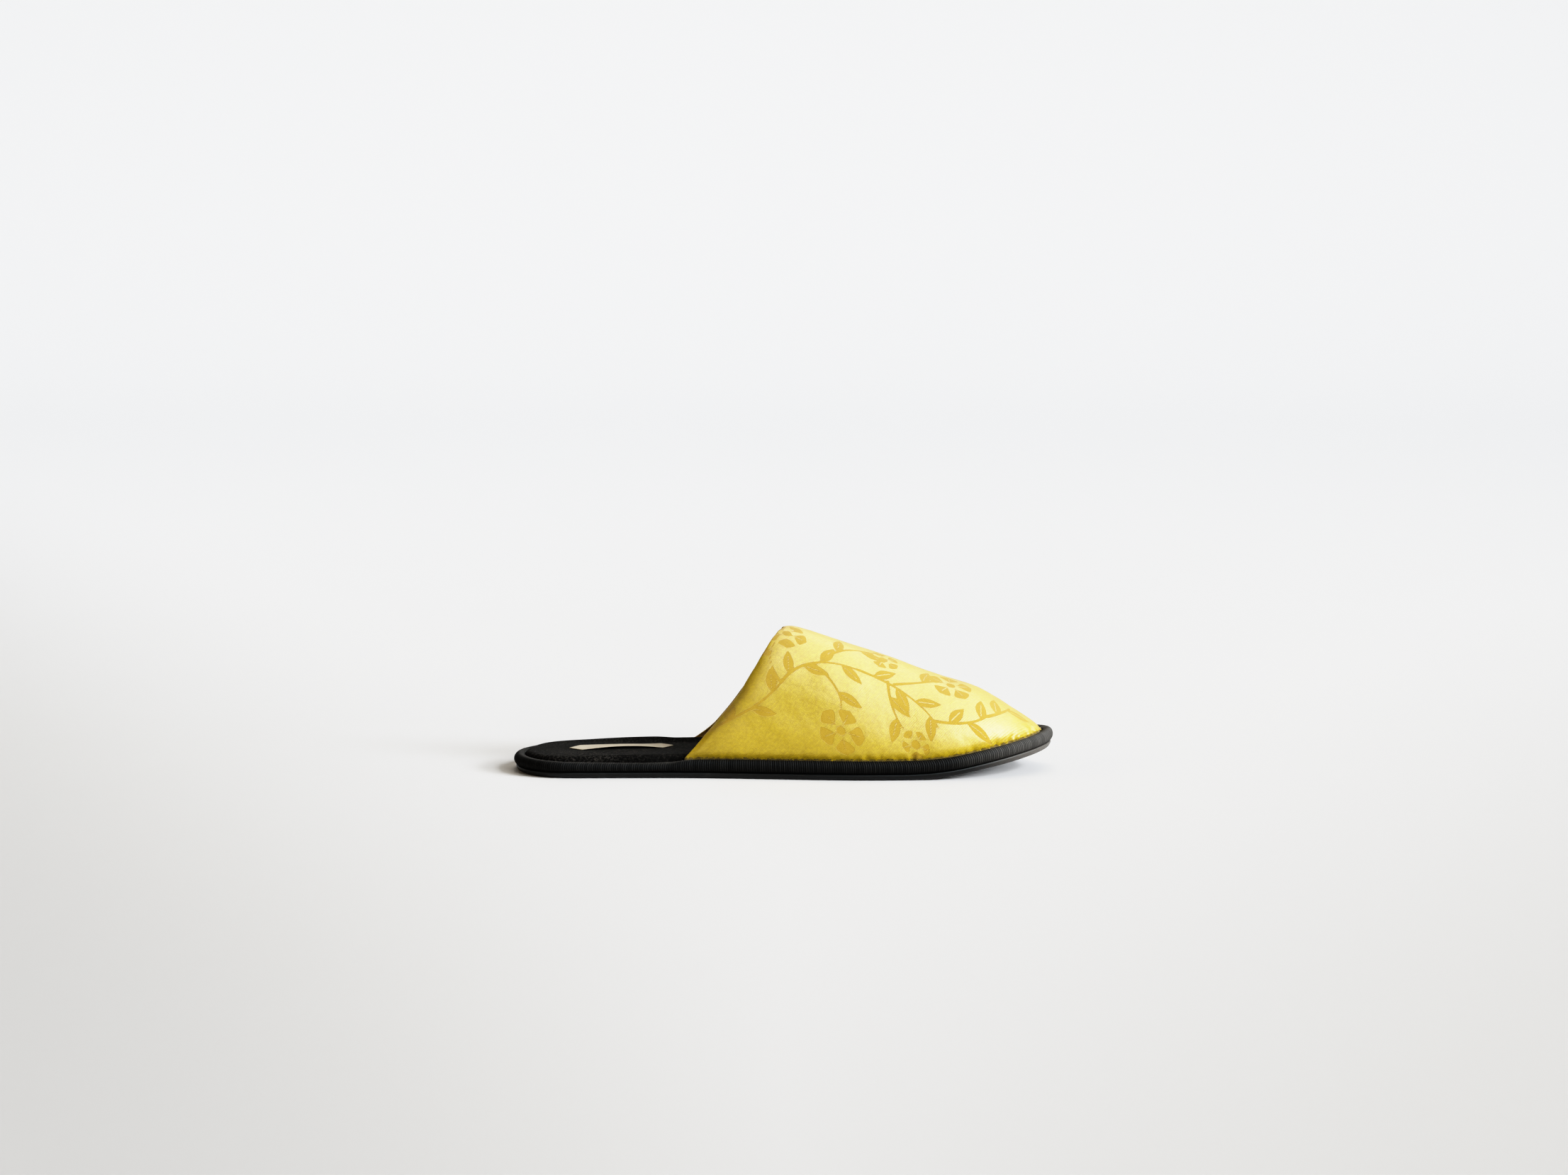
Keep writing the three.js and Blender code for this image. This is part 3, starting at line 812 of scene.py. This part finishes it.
def relief(x, girth, height, collar):
    """How far the cloth stands out of the last's smooth form. height: up the cloth from the seam."""
    out = swelled(np.zeros_like(x), SWELLS, x, girth)
    for side in (-1, 1):
        here = (girth >= 0) if side < 0 else (girth < 0)
        along = seam_distance(x, side)
        for fold in gathers(side):
            share = np.clip(height / fold["reach"], 0, 1)
            across = (along - fold["at"] - fold["lean"] * share) / (fold["width"] * (1 + share))
            trough = np.exp(-(across**2)) - FOLD_SHOULDER * np.exp(-((np.abs(across) - FOLD_REACH) ** 2))
            fade = (1 - share) ** FOLD_FADE * smoothstep(height, *FOLD_FOOT)
            out -= np.where(here, fold["depth"] * trough * fade, 0)
    out -= TUCK_DEPTH * np.exp(-((height / TUCK_REACH) ** 2))
    swollen = smoothstep(height, *SWELL_FOOT) * smoothstep(height, *SWELL_FADE)
    out += SWELL_OUT * swollen * smoothstep(height + np.abs(girth), *SWELL_GIRTH)
    low = smoothstep(height, *HOLLOW_FADE)
    out -= HOLLOW_DEPTH * low * np.exp(-(((collar - HOLLOW_AT) / HOLLOW_WIDTH) ** 2))
    return out * smoothstep(collar, *EDGE_CALM)


def upper_face(face, step):
    """Grid of one face, from the collar to the toe and from one lower edge to the other."""
    turn = np.linspace(0, math.pi, UPPER_COLUMNS + 1)
    sink = np.linspace(1, 0, SKIRT_STEPS + 1)[:-1]
    turn = np.r_[np.zeros(SKIRT_STEPS), turn, np.full(SKIRT_STEPS, math.pi)][::step]
    sink = np.r_[sink, np.zeros(UPPER_COLUMNS + 1), sink[::-1]][::step]
    tip = UPPER_TIP - (0 if face == "outer" else UPPER_WALL)
    collar = collar_at(turn) - ROLL_OUT * np.sqrt(np.sin(turn))
    off, depths = column(COLLAR_EDGE, "off"), column(COLLAR_EDGE, "depth")
    left = (1 - np.arange(1, UPPER_ROWS + 1) / UPPER_ROWS) ** ROW_CROWDING
    edge_x = collar + off[:, None]
    body_x = tip - (tip - collar - off[-1]) * left[:, None]
    x = np.r_[edge_x, body_x][::step]
    roll = ROLL_RIDGE + (ROLL_SIDE - ROLL_RIDGE) * np.cos(turn) ** 2
    waver = soft_noise(turn * COLLAR_TOP / 2, np.ones_like(turn), WAVER_SIZE, WAVER_SEED)
    roll = roll * (1 + ROLL_WAVER * waver)
    roll = ROLL_FOOT + (roll - ROLL_FOOT) * smoothstep(np.sin(turn), *ROLL_FADE)
    depth = np.r_[depths, np.zeros(UPPER_ROWS)][::step, None] * roll
    if face == "inner":
        depth = np.maximum(UPPER_WALL, depth + ROLL_WALL)
    points = upper_point(x, turn[None, :], depth)
    foot = SKIRT_FOOT + spring(x)
    points[..., 2] += (foot - points[..., 2]) * sink
    return points, x - collar, sink


def close_toe(ids, skirt):
    """Joins the last row's two halves, and its middle to one corner, at the toe's tip."""
    ids[-1] = np.minimum(ids[-1], ids[-1][::-1])
    ids[-1, skirt:-skirt] = ids[-1, skirt]


def upper():
    piece = Piece("upper_satin")
    outer, off, sink = upper_face("outer", 1)
    middle = outer.shape[1] // 2
    reach = path_lengths(outer, 1)
    girth = reach[:, middle : middle + 1] - reach
    seam = np.where(girth >= 0, girth[:, SKIRT_STEPS, None], -girth[:, -1 - SKIRT_STEPS, None])
    height = np.maximum(seam - np.abs(girth), 0)
    normals = grid_normals(outer)
    normals[-1] = normals[-2]
    stand = relief(outer[..., 0], girth, height, off) * (1 - sink)
    stand[-1] = 0
    flat_u = outer[..., 0]
    outer = outer + normals * stand[..., None]
    figure = woven_figure(flat_u, girth)
    # Painted shade along the collar's rolled edge: low on the sides, a wider faint band, none on the lateral
    # fold
    soil = 1 - smoothstep(off, *SHADE_REACH)
    soil = soil * smoothstep(outer[..., 2], *SHADE_FOOT) * smoothstep(outer[..., 2], *SHADE_TOP)
    soil = np.maximum(soil, WIDE_SHADE_SHARE * (1 - smoothstep(off, *WIDE_SHADE_REACH)))
    soil = np.where(girth > 0, soil * smoothstep(off, *SHADE_EDGE), soil)
    outer_ids = piece.add(outer, cloth_u=flat_u, cloth_v=girth, figure=figure, seam=height, soil=soil)
    close_toe(outer_ids, SKIRT_STEPS)

    inner = upper_face("inner", INNER_STEP)[0]
    inner_u, inner_v = inner[..., 0], girth[::INNER_STEP, ::INNER_STEP]
    inner_ids = piece.add(inner, cloth_u=inner_u, cloth_v=inner_v, figure=np.full(inner_u.shape, FAR))
    close_toe(inner_ids, SKIRT_STEPS // INNER_STEP)

    piece.grid(outer_ids, flat_u, girth)
    piece.grid(inner_ids, inner_u, inner_v, slot=1, flip=True)
    piece.ladder(outer_ids[0], inner_ids[0], UPPER_WALL)
    piece.ladder(outer_ids[:, 0], inner_ids[:, 0], UPPER_WALL, slot=1, flip=True)
    piece.ladder(outer_ids[:, -1], inner_ids[:, -1], UPPER_WALL, slot=1)
    return piece.build("upper", "satin", satin(), lining())


# Welt: grosgrain ribbon over a soft cord, all round the sole's edge
RIB_PITCH, RIB_STEPS = 1.06, 5
RIB_HEIGHT, RIB_ROUND = 0.24, 0.75  # a lower power makes a rib's top rounder
RIB_INSET = WELT_WIDTH / 4  # the ribs are evenly spaced along this line
RIB_SHINE = 2.5  # the painted highlight on a rib's top is this much narrower than the rib
RIB_SLANT = 0.5  # each rib leans this much along the edge, from its foot to its top
RIB_SPREAD, RIB_SEED = (0.8, 1.1), 4  # heights of single ribs
WELT_SECTION = rows(
    "at across up rib",
    (0, 0.2, 0, 0), (1, 0.05, 0.2, 0.7), (2, 0, 0.45, 1), (3, 0.07, 0.73, 1), (4, 0.27, 0.94, 1),
    (5, 0.52, 1, 1), (6, 0.82, 0.94, 0.9), (7, 1.06, 0.8, 0.5), (8, 1, 0, 0),
)
TOE_LIGHT = (205, 262)  # painted light: the ribbon is paler over this length towards the toe, where the light falls on it
LIGHT_END = 6.2  # of the section: its inner side gets no painted light
WELT_MARKS = 15  # points of the section from its foot over the top to its inner edge
WELT_STRIPS = 8  # the flat map is cut into this many lengths


def welt_stations():
    """Even steps along the welt's edge, as shares of the plan's length and sides, with their lengths."""
    share = (1 - np.cos(math.pi * SAMPLES)) / 2
    lateral = np.stack(plan_point(share, -1, RIB_INSET), -1)
    medial = np.stack(plan_point(share, 1, RIB_INSET), -1)[::-1]
    lengths = path_lengths(np.r_[lateral, medial[1:]])
    marks = np.r_[SAMPLES, 1 + SAMPLES[1:]]
    ribs = round(lengths[-1] / RIB_PITCH)
    along = np.arange(ribs * RIB_STEPS) * lengths[-1] / (ribs * RIB_STEPS)
    mark = np.interp(along, lengths, marks)
    side = np.where(mark <= 1, -1, 1)
    share = (1 - np.cos(math.pi * np.where(mark <= 1, mark, 2 - mark))) / 2
    return share[:, None], side[:, None], along[:, None], ribs


def welt():
    share, side, along, ribs = welt_stations()
    inner_x, _ = plan_point(share, side, WELT_WIDTH_HEEL)
    wing_foot = WING_AT + np.where(side > 0, LEAD_LOW - MEDIAL_SWEEP, 0)
    beside = np.clip((inner_x - wing_foot + SEAM_GAP) / WELT_STEP + 1, 0, 1)
    behind = insole_inset(share) - 2 * SEAM_GAP
    width = behind + (WELT_WIDTH - behind) * beside
    height = lookup(WELT_RISE, "height", inner_x)
    last = len(WELT_SECTION) - 1
    mark = np.r_[np.linspace(0, last - 1, WELT_MARKS), last]
    across, up, rib = (lookup(WELT_SECTION, name, mark) for name in ("across", "up", "rib"))
    x, y = plan_point(share, side, across * width)
    z = WELT_BASE + spring(x) + up * height
    base = np.stack([x, y, z], -1)
    lap = along[-1:] + along[1:2]
    phase = (along + RIB_SLANT * up) / RIB_PITCH * (ribs * RIB_PITCH / lap)
    crest = np.abs(np.sin(math.pi * phase)) ** RIB_ROUND
    tall = np.random.default_rng(RIB_SEED).uniform(*RIB_SPREAD, ribs + 1)
    crest = crest * tall[np.floor(phase).astype(int) % ribs]
    normals = grid_normals(base, closed=True)
    points = base + normals * (RIB_HEIGHT * (crest - 0.5) * rib)[..., None]
    piece = Piece("welt_ribbon")
    over = path_lengths(base, 1)
    whole = np.broadcast_to(along, over.shape)
    # Painted light on the ribbon's outer side near the toe
    wear = smoothstep(x, *TOE_LIGHT) * (mark < LIGHT_END)
    # The ribs' tops carry a painted highlight and their valleys painted shade
    ids = piece.add(points, rib_along=whole, rib_across=over, rib_crest=crest**RIB_SHINE * rib, wear=wear)
    ring = ringed(ringed(ids), 1)
    flat_u = np.r_[along, lap] + np.zeros(ring.shape)
    flat_v = ringed(np.concatenate([over, over[:, -1:] + height], axis=1))
    cuts = np.linspace(0, len(ids), WELT_STRIPS + 1).astype(int)
    for first, last in zip(cuts[:-1], cuts[1:]):
        strip = np.s_[first : last + 1]
        piece.grid(ring[strip], flat_u[strip], flat_v[strip])
    return piece.build("welt", "ribbon", ribbon())


# Insole: a padded board with a round edge, which reaches nearer the edge behind the upper
INSOLE_ROUND = 2.6
INSOLE_STEP = (62, 75)  # the edge draws in over this length, before the upper's wall
INSOLE_ROUND_STEPS = 9
INSOLE_SWELLS = rows("size height seed", (34, 0.25, 21), (13, 0.12, 22))


def insole_inset(share):
    """How far the insole's edge lies inside the welt's outer edge."""
    return FEATHER_INSET + (INSOLE_INSET - FEATHER_INSET) * smoothstep(share * LENGTH, *INSOLE_STEP)


def insole_top(x, y):
    return swelled(footbed(x, y), INSOLE_SWELLS, x, y)


def ring_stations():
    """Shares and sides once round the plan, crowded at the round ends, anticlockwise from above."""
    share = (1 - np.cos(np.linspace(0, math.pi, RING_STEPS + 1))) / 2
    shares = np.r_[share, share[-2:0:-1]]
    sides = np.r_[-np.ones(RING_STEPS + 1), np.ones(RING_STEPS - 1)]
    return shares, sides


def slab(piece, edge, layers, underside):
    """A closed solid through rings from its foot up. layers: inset from the edge, surface, lift over it."""
    shares, sides = ring_stations()
    rings = []
    for inset, surface, lift in layers:
        x, y = plan_point(shares, sides, edge + inset)
        rings.append(np.stack([x, y, surface(x, y) + lift], -1))
    rings = np.array(rings)
    ids = piece.add(rings)
    loop, closed = ringed(ids, 1), ringed(rings, 1)
    down = path_lengths(closed)
    round_it = path_lengths(closed[0])[None, :] + np.zeros(down.shape)
    half = loop.shape[1] // 2
    for part in (np.s_[:, : half + 1], np.s_[:, half:]):
        piece.grid(loop[part], round_it[part], down[part], flip=True)
    lateral = np.arange(RING_STEPS + 1)
    medial = -lateral % len(shares)
    t = np.linspace(0, 1, CAP_RUNGS + 1)[None, :, None]
    for layer, surface, lift, flip in ((0, underside, 0, True), (-1, *layers[-1][1:], False)):
        ring, ring_ids = rings[layer], ids[layer]
        rungs = ring[lateral, None] * (1 - t) + ring[medial, None] * t
        rungs[..., 2] = surface(rungs[..., 0], rungs[..., 1]) + lift
        between = piece.add(rungs[1:-1, 1:-1])
        grid = np.zeros(rungs.shape[:2], int)
        grid[1:-1, 1:-1] = between
        grid[:, 0] = ring_ids[lateral]
        grid[:, -1] = ring_ids[medial]
        grid[0, :] = ring_ids[0]
        grid[-1, :] = ring_ids[RING_STEPS]
        piece.grid(grid, rungs[..., 0], rungs[..., 1], flip=flip)


def insole():
    piece = Piece("insole_pad")

    def foot(x, y):
        return WELT_BASE + spring(x)

    layers = [(0, foot, 0)]
    for angle in np.linspace(0, math.pi / 2, INSOLE_ROUND_STEPS):
        inset = INSOLE_ROUND * (1 - math.cos(angle))
        drop = INSOLE_ROUND * (1 - math.sin(angle))
        layers.append((inset, insole_top, -drop))
    slab(piece, insole_inset(ring_stations()[0]), layers, foot)
    made = piece.build("insole", "suede", suede())
    return made


# Label: a bare ribbon with pointed ends, its near edge standing off the insole
LABEL_AT, LABEL_SIDE, LABEL_TURN = 52.5, 1.5, math.radians(6)
LABEL_LENGTH, LABEL_WIDTH, LABEL_POINT = 51, 13, 5.5
LABEL_THICKNESS = 0.35
LABEL_LIFT, LIFT_FROM = 1.1, (-0.2, 1)  # the near edge lifts over these shares of the half width
LABEL_STEPS, LABEL_RUNGS = 72, 16


def label():
    piece = Piece("label_tape")
    along = np.linspace(-LABEL_LENGTH / 2, LABEL_LENGTH / 2, LABEL_STEPS + 1)[:, None]
    straight = LABEL_LENGTH / 2 - LABEL_POINT
    half = LABEL_WIDTH / 2 * np.clip((LABEL_LENGTH / 2 - np.abs(along)) / LABEL_POINT, 0, 1)
    across = half * np.linspace(-1, 1, LABEL_RUNGS + 1)[None, :]
    x = LABEL_AT + along * math.cos(LABEL_TURN) - across * math.sin(LABEL_TURN)
    y = LABEL_SIDE + along * math.sin(LABEL_TURN) + across * math.cos(LABEL_TURN)
    near = smoothstep(-across / (LABEL_WIDTH / 2), *LIFT_FROM)
    lift = LABEL_LIFT * near * (1 - np.clip(np.abs(along) / straight, 0, 1) ** 2)
    z = insole_top(x, y) + SEAM_GAP / 2 + lift
    low = np.stack([x, y, z], -1)
    high = low + [0, 0, LABEL_THICKNESS]
    flat = {"cloth_u": along + 0 * across, "cloth_v": across}
    low_ids, high_ids = piece.add(low, **flat), piece.add(high, **flat)
    for ids in (low_ids, high_ids):
        ids[0] = ids[0, 0]
        ids[-1] = ids[-1, 0]
    piece.grid(low_ids, flat["cloth_u"], flat["cloth_v"], flip=True)
    piece.grid(high_ids, flat["cloth_u"], flat["cloth_v"])
    for side, flip in ((0, False), (-1, True)):
        rim = np.stack([low_ids[:, side], high_ids[:, side]], -1)
        piece.grid(rim, along, np.array([[0, LABEL_THICKNESS]]), flip=flip)
    made = piece.build("label", "tape", tape())
    flat = (LABEL_WIDTH * MM, LABEL_LENGTH * MM)
    return made


# Outsole: thin rubber with a round edge and fine wavy tread
OUTSOLE_SECTION = rows(
    "at inset height",
    (0, 3.2, 0), (1, 2, 0.5), (2, 1.2, 1.6), (3, 1, 2.6), (4, 1.5, OUTSOLE_THICKNESS),
)
OUTSOLE_MARKS = 17
TREAD_PITCH, TREAD_DEPTH, TREAD_BORDER, TREAD_FADE = 5.2, 0.4, 7, 2
TREAD_WAVE, TREAD_SWING = 18, 2.2


def outsole():
    piece = Piece("outsole_rubber")

    def sole(x, y):
        return spring(x)

    def tread(x, y):
        rim = half_width(x, TREAD_BORDER) - np.abs(y - axis(x))
        swing = TREAD_SWING * np.sin(math.tau * y / TREAD_WAVE)
        groove = 0.5 - 0.5 * np.cos(math.tau * (x + swing) / TREAD_PITCH)
        return sole(x, y) + TREAD_DEPTH * groove * smoothstep(rim, 0, TREAD_FADE)

    layers = []
    for mark in np.linspace(0, len(OUTSOLE_SECTION) - 1, OUTSOLE_MARKS):
        inset, height = (lookup(OUTSOLE_SECTION, name, mark) for name in ("inset", "height"))
        layers.append((inset, sole, height))
    slab(piece, 0, layers, tread)
    return piece.build("outsole", "rubber", rubber())


upper()
welt()
insole()
label()
outsole()

# Studio, in metres
SWEEP_BACK, SWEEP_FRONT, SWEEP_HALF, SWEEP_ROUND, SWEEP_TOP = 2.6, -3.0, 4.0, 1.4, 3.2
SWEEP_STEPS = 24


def sweep():
    """A seamless floor that curves up into a backdrop."""
    angle = np.linspace(0, math.pi / 2, SWEEP_STEPS)
    bend_y = SWEEP_BACK + SWEEP_ROUND * np.sin(angle)
    bend_z = SWEEP_ROUND * (1 - np.cos(angle))
    y = np.r_[SWEEP_FRONT, bend_y, bend_y[-1:]]
    z = np.r_[0, bend_z, SWEEP_TOP]
    points = [(side * SWEEP_HALF, b, c) for b, c in zip(y, z) for side in (-1, 1)]
    faces = [(2 * k, 2 * k + 1, 2 * k + 3, 2 * k + 2) for k in range(len(y) - 1)]
    made = placed("sweep", smooth_mesh("sweep", points, faces, [paper()]))


# Soft panels. place: of the middle. aim: the point that it faces. matt: left out of glossy reflections.
PANELS = rows(
    "name place aim size watts tint matt",
    ("top", (0.2, 0, 2.4), (0, 0, 0), 1.5, 10, (1, 0.88, 0.7), False),
    ("front", (1.7, -1.9, 1.0), (0, 0, 0.04), 1.4, 34, (1, 0.97, 0.92), True),
    ("warm", (-2.2, -0.6, 0.9), (0, 0, 0.04), 1, 6, (1, 0.8, 0.55), True),
    ("back", (-0.25, 1.0, 2.4), (-0.25, 3.8, 0.7), 1, 21, (1, 1, 1), False),
)
# Wide far lights from the toe's side. round: towards the medial side. rise: over the floor. All in degrees.
# gloss: only in glossy reflections.
FAR_LIGHTS = rows(
    "name round rise spread strength tint gloss",
    ("key", -24, 36, 13, 1.6, (0.94, 0.98, 1.04), False),
    ("low", -21.4, 20, 14, 2.63, (0.94, 0.98, 1.04), False),
    ("shine", 5, 50, 50, 4.0, (0.88, 1, 1.1), True),
    ("crest", 75, 35, 45, 4.0, (1, 0.95, 0.85), True),
    ("gleam", -54, 38, 47, 3.8, (0.82, 1, 1.1), True),
)
ROOM_LIGHT, ROOM_TINT = 0.05, (1, 0.9, 0.76)


def hang(lamp, place, aim, matt=False, gloss=False):
    made = placed(lamp.name, lamp)
    made.location = place
    made.rotation_euler = (Vector(aim) - Vector(place)).to_track_quat("-Z", "Y").to_euler()
    made.visible_camera = False
    made.visible_glossy = not matt
    made.visible_diffuse = not gloss


def lights():
    for panel in PANELS:
        lamp = bpy.data.lights.new(panel["name"], "AREA")
        lamp.size, lamp.energy, lamp.color = panel["size"], panel["watts"], panel["tint"]
        hang(lamp, panel["place"], panel["aim"], matt=panel["matt"])
    for far in FAR_LIGHTS:
        lamp = bpy.data.lights.new(far["name"], "SUN")
        lamp.angle, lamp.energy, lamp.color = math.radians(far["spread"]), far["strength"], far["tint"]
        round_it, rise = math.radians(far["round"]), math.radians(far["rise"])
        level = math.cos(rise)
        place = (level * math.cos(round_it), level * math.sin(round_it), math.sin(rise))
        hang(lamp, place, (0, 0, 0), gloss=far["gloss"])
    world = bpy.data.worlds.new("room")
    world.use_nodes = True
    background = world.node_tree.nodes["Background"].inputs
    background["Color"].default_value = (*ROOM_TINT, 1)
    background["Strength"].default_value = ROOM_LIGHT
    bpy.context.scene.world = world


CAMERA_PLACE = (0, -1.8043, 0.2915)
CAMERA_PITCH = math.radians(6.4)
CAMERA_LENS, CAMERA_SENSOR = 85, 36


def camera():
    data = bpy.data.cameras.new("camera")
    data.lens, data.sensor_width, data.sensor_fit = CAMERA_LENS, CAMERA_SENSOR, "HORIZONTAL"
    made = placed("camera", data)
    made.location = CAMERA_PLACE
    made.rotation_euler = (math.pi / 2 - CAMERA_PITCH, 0, 0)
    bpy.context.scene.camera = made


sweep()
lights()
camera()

# The picture's response: deep blacks and soft lights. scene: brightness in the scene. shown: in the picture.
RESPONSE_TOP = 2.0
RESPONSE = rows(
    "scene shown",
    (0.02, 0.009), (0.06, 0.045), (0.18, 0.18), (0.4, 0.46), (0.62, 0.7), (0.85, 0.865), (1.2, 0.945),
)


def response():
    view = bpy.context.scene.view_settings
    view.view_transform = "Standard"
    view.use_curve_mapping = True
    view.curve_mapping.white_level = [RESPONSE_TOP] * 3
    curve = view.curve_mapping.curves[3]  # for all three colours
    for row in RESPONSE:
        curve.points.new(row["scene"] / RESPONSE_TOP, row["shown"])
    view.curve_mapping.update()


response()
